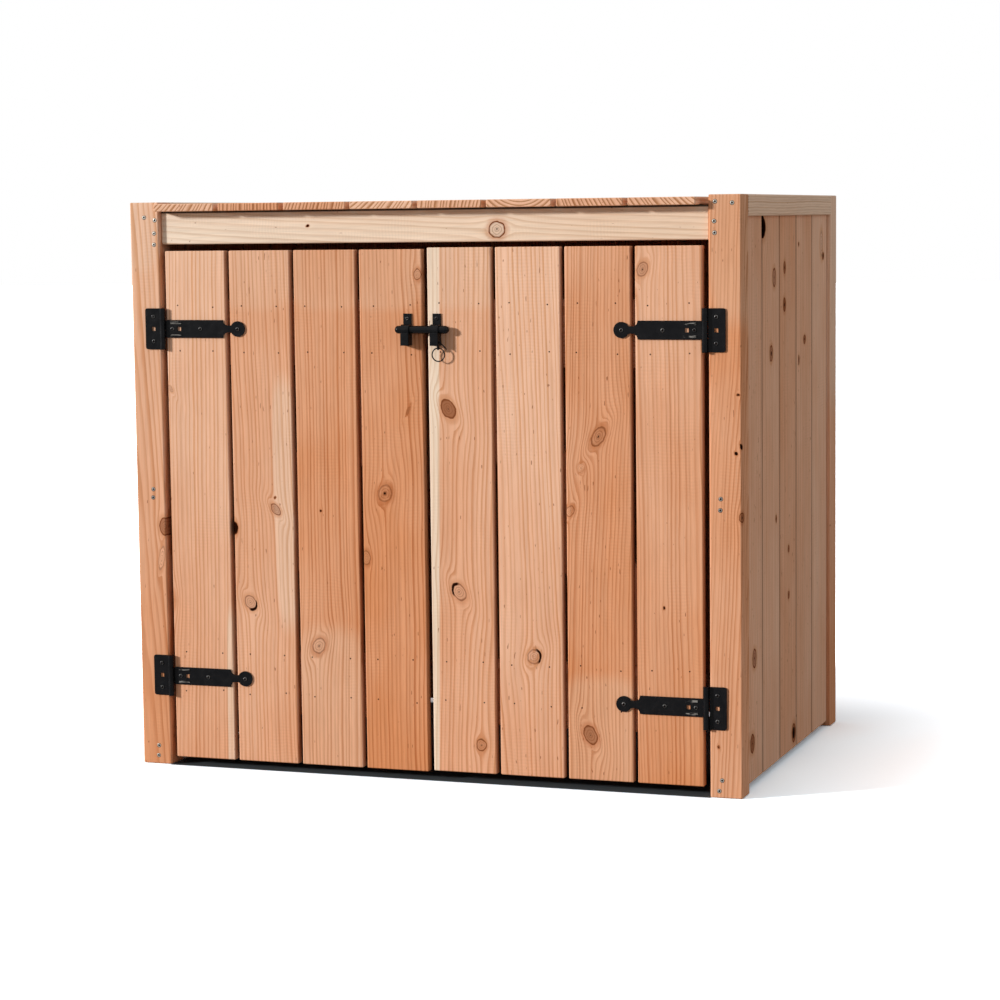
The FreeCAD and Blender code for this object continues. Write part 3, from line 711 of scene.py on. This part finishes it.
# The driver's socket is drawn near black as painted shade, since light hardly gets into it; the
# nails' heads take the same dark steel
SOCKET_SHADE_AND_NAIL = coated_metal("dark_nail_steel_and_socket_shade", BARK_AND_SOCKET_SHADE, BLACK_COAT, 0.8, 0.1)
FIBRE = torn_fibre()


# Fasteners

HEAD_SIDES = 36
DRIVER_LOBES = 6
SHARP_EDGE = radians(40)
FRONT = (0, -1, 0)
BACK = (0, 1, 0)
UP = (0, 0, 1)

# Profiles run from a head's rim to its middle: radius and height in millimetres, how far the
# six lobes of the driver's socket press the ring out and in, and which material follows
PAN_HEAD = ((4.3, -0.4, 0, 0), (4.3, 0.7, 0, 2), (4.0, 1.3, 0, 2), (3.3, 1.9, 0, 2),
            (2.8, 2.1, 0, 0), (1.9, 2.2, 0.13, 1), (1.7, 0.8, 0.13, 1), (0.5, 0.5, 0, 1))
COUNTERSUNK_HEAD = ((3.9, -0.5, 0, 0), (3.9, 0.25, 0, 0), (3.7, 0.36, 0, 0), (2.7, 0.30, 0, 0),
                    (2.1, 0.28, 0.13, 1), (1.9, 0.06, 0.13, 1), (0.5, 0.05, 0, 1))
NAIL_HEAD = ((1.2, -0.3, 0, 0), (1.2, 0.10, 0, 0), (0.9, 0.14, 0, 0), (0.4, 0.12, 0, 0))


def in_scene(name, data):
    """A new object that stands in the scene."""
    made = bpy.data.objects.new(name, data)
    bpy.context.scene.collection.objects.link(made)
    return made


def turned_rings(mesh, chance, places, outward, profile):
    """Lathes a profile at one place after another; its faces take the materials it names."""
    turn = Vector(UP).rotation_difference(Vector(outward)).to_matrix()
    for place in places:
        spin = chance.uniform(0, tau)
        rings = []
        for radius, height, lobing, _ in profile:
            ring = []
            for i in range(HEAD_SIDES):
                angle = tau * i / HEAD_SIDES
                reach = radius * (1 + lobing * cos(DRIVER_LOBES * angle))
                point = Vector((reach * cos(angle + spin), reach * sin(angle + spin), height))
                ring.append(mesh.verts.new(MM * (Vector(place) + turn @ point)))
            rings.append(ring)
        for outer, inner, step in zip(rings, rings[1:], profile):
            for i in range(HEAD_SIDES):
                j = (i + 1) % HEAD_SIDES
                face = mesh.faces.new((outer[i], outer[j], inner[j], inner[i]))
                face.smooth = True
                face.material_index = step[3]
        yield rings


def finish_piece(name, mesh, body, materials):
    """Turns a mesh in the making into a piece that rides on its body."""
    data = bpy.data.meshes.new(name)
    bmesh.ops.recalc_face_normals(mesh, faces=mesh.faces)
    mesh.to_mesh(data)
    mesh.free()
    data.set_sharp_from_angle(angle=SHARP_EDGE)
    for material in materials:
        data.materials.append(material)
    piece = in_scene(name, data)
    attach(piece, body)


def fasteners(name, body, places, outward, profile, materials):
    """Heads of one kind, driven from one side, as one piece on their body."""
    mesh = bmesh.new()
    for rings in turned_rings(mesh, random.Random(name), places, outward, profile):
        lid = mesh.faces.new(rings[-1])
        lid.material_index = profile[-1][3]
    finish_piece(name, mesh, body, materials)


def bruises(name, body, places, outward, inner, outer):
    """Thin uneven rings of crushed wood round the heads, thickest at the head."""
    mesh = bmesh.new()
    chance = random.Random(name)
    profile = ((outer, 0.02, 0, 0), (outer - 0.3, 0.10, 0, 0), (inner, 0.20, 0, 0),
               (inner, -0.2, 0, 0))
    for rings in turned_rings(mesh, chance, places, outward, profile):
        for outside, inside in zip(rings[1], rings[2]):
            outside.co += (inside.co - outside.co) * chance.uniform(0.0, 0.6)
        for outside, inside in zip(rings[0], rings[1]):
            outside.co += (inside.co - outside.co) * chance.uniform(0.0, 0.4)
    finish_piece(name, mesh, body, [FIBRE])


# From here on places are in millimetres: the front faces of posts and doors, of a hinge's leaf
# and of a latch bracket, and the posts' inner faces
POST_FACE = -428.5
LEAF_FACE = -431.5
BRACKET_FACE = -431.0
POST_INSIDE = 605

# The screws in the front posts, across and up. Those at half height are dull
POST_SCREWS = ((-641, 1188), (-616, 1182), (-618, 1154), (-619, 1130), (-635, 603), (-636, 585),
               (-637, 40), (-638, 18), (621, 1206), (656, 1203), (619, 1167), (620, 1144),
               (631, 611), (630, 588), (632, 36), (626, 14))
HALF_HEIGHT = range(500, 700)
bright_screws = [(x, POST_FACE, z) for x, z in POST_SCREWS if z not in HALF_HEIGHT]
dull_screws = [(x, POST_FACE, z) for x, z in POST_SCREWS if z in HALF_HEIGHT]
fasteners("post_screws", "root", bright_screws, FRONT, COUNTERSUNK_HEAD, [BRIGHT_SCREW, SOCKET_SHADE_AND_NAIL])
fasteners("middle_post_screws", "root", dull_screws, FRONT, COUNTERSUNK_HEAD,
          [DULL_SCREW, SOCKET_SHADE_AND_NAIL])
bruises("post_screw_bruises", "root", [(x, POST_FACE, z) for x, z in POST_SCREWS], FRONT,
        inner=3.9, outer=4.9)

# Which side each door is on, and the heights of its hinges
HINGES = (("left", -1, (950, 197)), ("right", 1, (950, 184)))
PLATE_SCREW_ACROSS = 623.5
PLATE_SCREWS_UP = (26.5, -26.5)
STRAP_SCREWS_ACROSS = (578.5, 512.5, 425.5)
LATCH_SCREWS_UP = 973
plate_screws = []
for side, sign, heights in HINGES:
    plate_screws += [(sign * PLATE_SCREW_ACROSS, LEAF_FACE, z + up)
                     for z in heights for up in PLATE_SCREWS_UP]
    strap_screws = [(sign * x, LEAF_FACE, z) for z in heights for x in STRAP_SCREWS_ACROSS]
    fasteners(side + "_strap_screws", side + "_door", strap_screws, FRONT, PAN_HEAD,
              [BLACK_SCREW, SOCKET_SHADE_AND_NAIL, WORN_RIM])
fasteners("plate_screws", "root", plate_screws, FRONT, PAN_HEAD, [BLACK_SCREW, SOCKET_SHADE_AND_NAIL, WORN_RIM])
for name, body, x in (("keeper_screw", "left_door", -38), ("guide_screw", "right_door", 27)):
    fasteners(name, body, [(x, BRACKET_FACE, LATCH_SCREWS_UP)], FRONT, PAN_HEAD,
              [BLACK_SCREW, SOCKET_SHADE_AND_NAIL, BLACK_SCREW])

# Two nails to each crossing of board and ledge, none quite where it was meant
NAILS_ACROSS = (-42, 42)
NAILS_UP = (166, 252, 899, 999)
NAIL_MISS = 4
DOOR_BOARDS = 4
RIGHT_DOOR_LIFT = 3
by_hand = random.Random("nails driven by hand")
for side, lift in (("left", 0), ("right", RIGHT_DOOR_LIFT)):
    nails = []
    for i in range(DOOR_BOARDS):
        low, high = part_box("%s_door_board_%d" % (side, i + 1))
        middle = (low.x + high.x) / 2 / MM
        nails += [(middle + x + by_hand.uniform(-NAIL_MISS, NAIL_MISS), POST_FACE,
                   z + lift + by_hand.uniform(-NAIL_MISS, NAIL_MISS))
                  for x in NAILS_ACROSS for z in NAILS_UP]
    fasteners(side + "_door_nails", side + "_door", nails, FRONT, NAIL_HEAD, [SOCKET_SHADE_AND_NAIL])
    bruises(side + "_door_nail_bruises", side + "_door", nails, FRONT, inner=1.2, outer=1.7)

# Roof and back boards each have two screws in every rail that they lie on
SCREWS_ACROSS = (-45, 45)
ROOF_RAILS = (-395, 11.5, 401)
BACK_RAILS = (74, 1165)
roof_screws = []
for i in range(len(ROOF_SHADE)):
    low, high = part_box("roof_board_%d" % (i + 1))
    middle = (low.x + high.x) / 2 / MM
    roof_screws += [(middle + x, y, high.z / MM) for x in SCREWS_ACROSS for y in ROOF_RAILS]
fasteners("roof_screws", "root", roof_screws, UP, COUNTERSUNK_HEAD, [BRIGHT_SCREW, SOCKET_SHADE_AND_NAIL])
bruises("roof_screw_bruises", "root", roof_screws, UP, inner=4.1, outer=5.4)

back_low, back_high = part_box("back_boards")
back_pitch = (back_high.x - back_low.x) / BACK_BOARDS / MM
back_screws = [(back_low.x / MM + back_pitch * (i + 0.5) + x, back_high.y / MM, z)
               for i in range(BACK_BOARDS) for x in SCREWS_ACROSS for z in BACK_RAILS]
fasteners("back_screws", "root", back_screws, BACK, COUNTERSUNK_HEAD, [BRIGHT_SCREW, SOCKET_SHADE_AND_NAIL])
bruises("back_screw_bruises", "root", back_screws, BACK, inner=4.1, outer=5.4)


# The model's own solids get their finishes

for name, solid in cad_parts.items():
    metal = "hinge" in name or "latch" in name
    finish = BLACK if metal else planed_larch(name, timber_of(name))
    solid.data.materials.clear()
    solid.data.materials.append(finish)


# Floor, light and camera

def shown_directly(tree, seen):
    """1 for what is seen straight on, in a gloss or through a glass, and else 0."""
    direct = add(tree, MATH, {0: seen.outputs["Is Camera Ray"], 1: seen.outputs["Is Glossy Ray"]},
                 operation="MAXIMUM")
    return add(tree, MATH, {0: direct, 1: seen.outputs["Is Transmission Ray"]},
               operation="MAXIMUM")


# How light the floor is: to the eye behind the doors and further inside, both painted shade, and
# at the foot of the walls, and what that last is multiplied by far out, a painted light; to light
# bounced on the wood, and to a gloss
SHADE_BEHIND_DOORS = 0.09
INSIDE = 0.45
AT_THE_FOOT = 2.0
FAR_OUT = 2.7
THROWN_BACK = 0.40
REFLECTED = 0.9

# The floor's tints, as red, green and blue: cool beside the walls, painted against their warm glow
# on it, plain further off, and warm in what it throws back; and the level of the light from all
# round
COOL_TINT = (0.845, 0.967, 1.035)
PLAIN_TINT = (0.84, 0.88, 0.905)
WARM_TINT = (1.08, 0.96, 0.87)
FILL = 0.28

# How far the floor reaches each way, and how high it lies
FLOOR_REACH = 40
FLOOR_LEVEL = -0.5 * MM


def pale_floor():
    """White studio paper, painted brighter outwards as a painted light, so the shadow lies near
    the store.

    Just behind the doors it is painted nearly black as shade, so that the slot under them shows no
    light; further inside it is painted dark too, and a thin painted contact shadow runs round the
    store's foot. What it throws back on the wood is warmer than what the camera sees of it, and
    beside the walls, which glow on it, it is painted cooler against that glow.
    """
    material = bpy.data.materials.new("matt_studio_paper")
    material.use_nodes = True
    tree = material.node_tree
    tree.nodes.clear()
    seen = add(tree, SEEN)
    place = add(tree, COORDINATES).outputs["Object"]
    outward = add(tree, VECTOR, {0: place}, operation="ABSOLUTE")
    beyond = add(tree, VECTOR, {0: outward, 1: (POST_INSIDE * MM, -POST_FACE * MM, 0.0)},
                 operation="SUBTRACT")
    positive = add(tree, VECTOR, {0: beyond, 1: (0.0, 0.0, 0.0)}, operation="MAXIMUM")
    distance = add(tree, VECTOR, {0: positive}, operation="LENGTH")
    depth = add(tree, SPLIT, {0: place}).outputs[1]
    # Painted shade: under the store the floor is drawn dark, darkest just behind the doors
    inside = add(tree, RANGE, {"Value": depth, "From Min": -0.25, "From Max": 0.0,
                               "To Min": SHADE_BEHIND_DOORS, "To Max": INSIDE})
    # Painted contact shadow: the floor is drawn dark within a few millimetres round the store's
    # foot
    painted_contact_shade = add(tree, RANGE, {"Value": distance, "From Min": 1.5 * MM,
                                       "From Max": 6 * MM, "To Min": inside,
                                       "To Max": AT_THE_FOOT})
    # Painted light: further out the floor is drawn brighter, so the shadow fades
    painted_brightening = add(tree, RANGE, {"Value": distance, "From Min": 0.03, "From Max": 0.9,
                               "To Min": 1.0, "To Max": FAR_OUT})
    white = add(tree, MATH, {0: painted_contact_shade, 1: painted_brightening}, operation="MULTIPLY")
    direct = shown_directly(tree, seen)
    plain = add(tree, MIX, {"Factor": direct, "A": THROWN_BACK, "B": REFLECTED})
    level = add(tree, MIX, {"Factor": seen.outputs["Is Camera Ray"], "A": plain, "B": white})
    # The cool tint, painted against the walls' warm glow, gives way to the plain one away from the
    # walls and behind the store
    away = add(tree, RANGE, {"Value": distance, "From Min": 0.12, "From Max": 0.30})
    behind = add(tree, RANGE, {"Value": depth, "From Min": 0.20, "From Max": 0.45})
    beyond_glow = add(tree, MATH, {0: away, 1: behind}, operation="MAXIMUM")
    shown = add(tree, MIX, {"Factor": beyond_glow, "A": COOL_TINT, "B": PLAIN_TINT},
                data_type="VECTOR")
    tint = add(tree, MIX, {"Factor": direct, "A": WARM_TINT, "B": shown}, data_type="VECTOR")
    colour = add(tree, VECTOR, {0: tint, "Scale": level}, operation="SCALE")
    paper = add(tree, "ShaderNodeBsdfDiffuse", {"Color": colour})
    add(tree, "ShaderNodeOutputMaterial", {"Surface": paper})
    return material


def studio_world():
    """Even light from all round, with white where the camera or a gloss looks into it."""
    world = bpy.data.worlds.new("plain_studio")
    world.use_nodes = True
    tree = world.node_tree
    tree.nodes.clear()
    seen = add(tree, SEEN)
    level = add(tree, MIX, {"Factor": shown_directly(tree, seen), "A": FILL, "B": 1.0})
    sky = add(tree, "ShaderNodeBackground", {"Color": (1.0, 1.0, 1.0, 1.0), "Strength": level})
    add(tree, "ShaderNodeOutputWorld", {"Surface": sky})
    return world


bpy.context.scene.world = studio_world()

floor_mesh = bmesh.new()
corners = [floor_mesh.verts.new((x * FLOOR_REACH, y * FLOOR_REACH, FLOOR_LEVEL))
           for x, y in ((-1, -1), (1, -1), (1, 1), (-1, 1))]
floor_mesh.faces.new(corners)
floor_data = bpy.data.meshes.new("studio_floor")
floor_mesh.to_mesh(floor_data)
floor_mesh.free()
floor_data.materials.append(pale_floor())
floor = in_scene("studio_floor", floor_data)


def lamp(name, kind, power, direction, place=(0, 0, 5), **settings):
    """A lamp that shines along a direction."""
    data = bpy.data.lights.new(name, kind)
    data.energy = power
    for key, value in settings.items():
        setattr(data, key, value)
    made = in_scene(name, data)
    made.location = place
    made.rotation_euler = Vector(direction).to_track_quat("-Z", "Y").to_euler()


# The key comes from the front left, low and fairly hard, so that the latch and the hinges throw
# their shadows to the right. The side fill is broad and cool and lights the right wall
SUN_AZIMUTH = radians(56)
SUN_ELEVATION = radians(14.5)
KEY_POWER = 3.65
KEY_SPREAD = radians(6)
SIDE_FILL_POWER = 0.63
SIDE_FILL_SPREAD = radians(70)
SIDE_FILL_COLOUR = (0.95, 1.06, 1.16)
OVERHEAD_POWER = 12.0

key_direction = (sin(SUN_AZIMUTH) * cos(SUN_ELEVATION),
                 cos(SUN_AZIMUTH) * cos(SUN_ELEVATION), -sin(SUN_ELEVATION))
lamp("key", "SUN", KEY_POWER, key_direction, angle=KEY_SPREAD)
lamp("side fill", "SUN", SIDE_FILL_POWER, (-1.0, 0.15, -0.20), angle=SIDE_FILL_SPREAD,
     color=SIDE_FILL_COLOUR)
lamp("overhead", "AREA", OVERHEAD_POWER, (0, 0, -1), (0, 0, 3.2), size=3.0)

# Where the photograph was taken from: recovered from the store's own corners
CAMERA_PLACE = (2.001, -5.642, 1.178)
FOCAL_LENGTH = 96.78
FILM_WIDTH = 36
YAW = radians(19.444)
PITCH = radians(5.987)
ROLL = radians(-0.687)
ahead = Vector((-sin(YAW) * cos(PITCH), cos(YAW) * cos(PITCH), -sin(PITCH)))
level_right = Vector((cos(YAW), sin(YAW), 0))
level_up = level_right.cross(ahead)
right = cos(ROLL) * level_right + sin(ROLL) * level_up
up = -sin(ROLL) * level_right + cos(ROLL) * level_up
camera_data = bpy.data.cameras.new("photograph")
camera_data.lens = FOCAL_LENGTH
camera_data.sensor_width = FILM_WIDTH
camera_data.clip_end = 200
camera = in_scene("photograph", camera_data)
camera.matrix_world = (Matrix.Translation(CAMERA_PLACE)
                       @ Matrix((right, up, -ahead)).transposed().to_4x4())
bpy.context.scene.camera = camera

bpy.context.scene.view_settings.view_transform = "Standard"
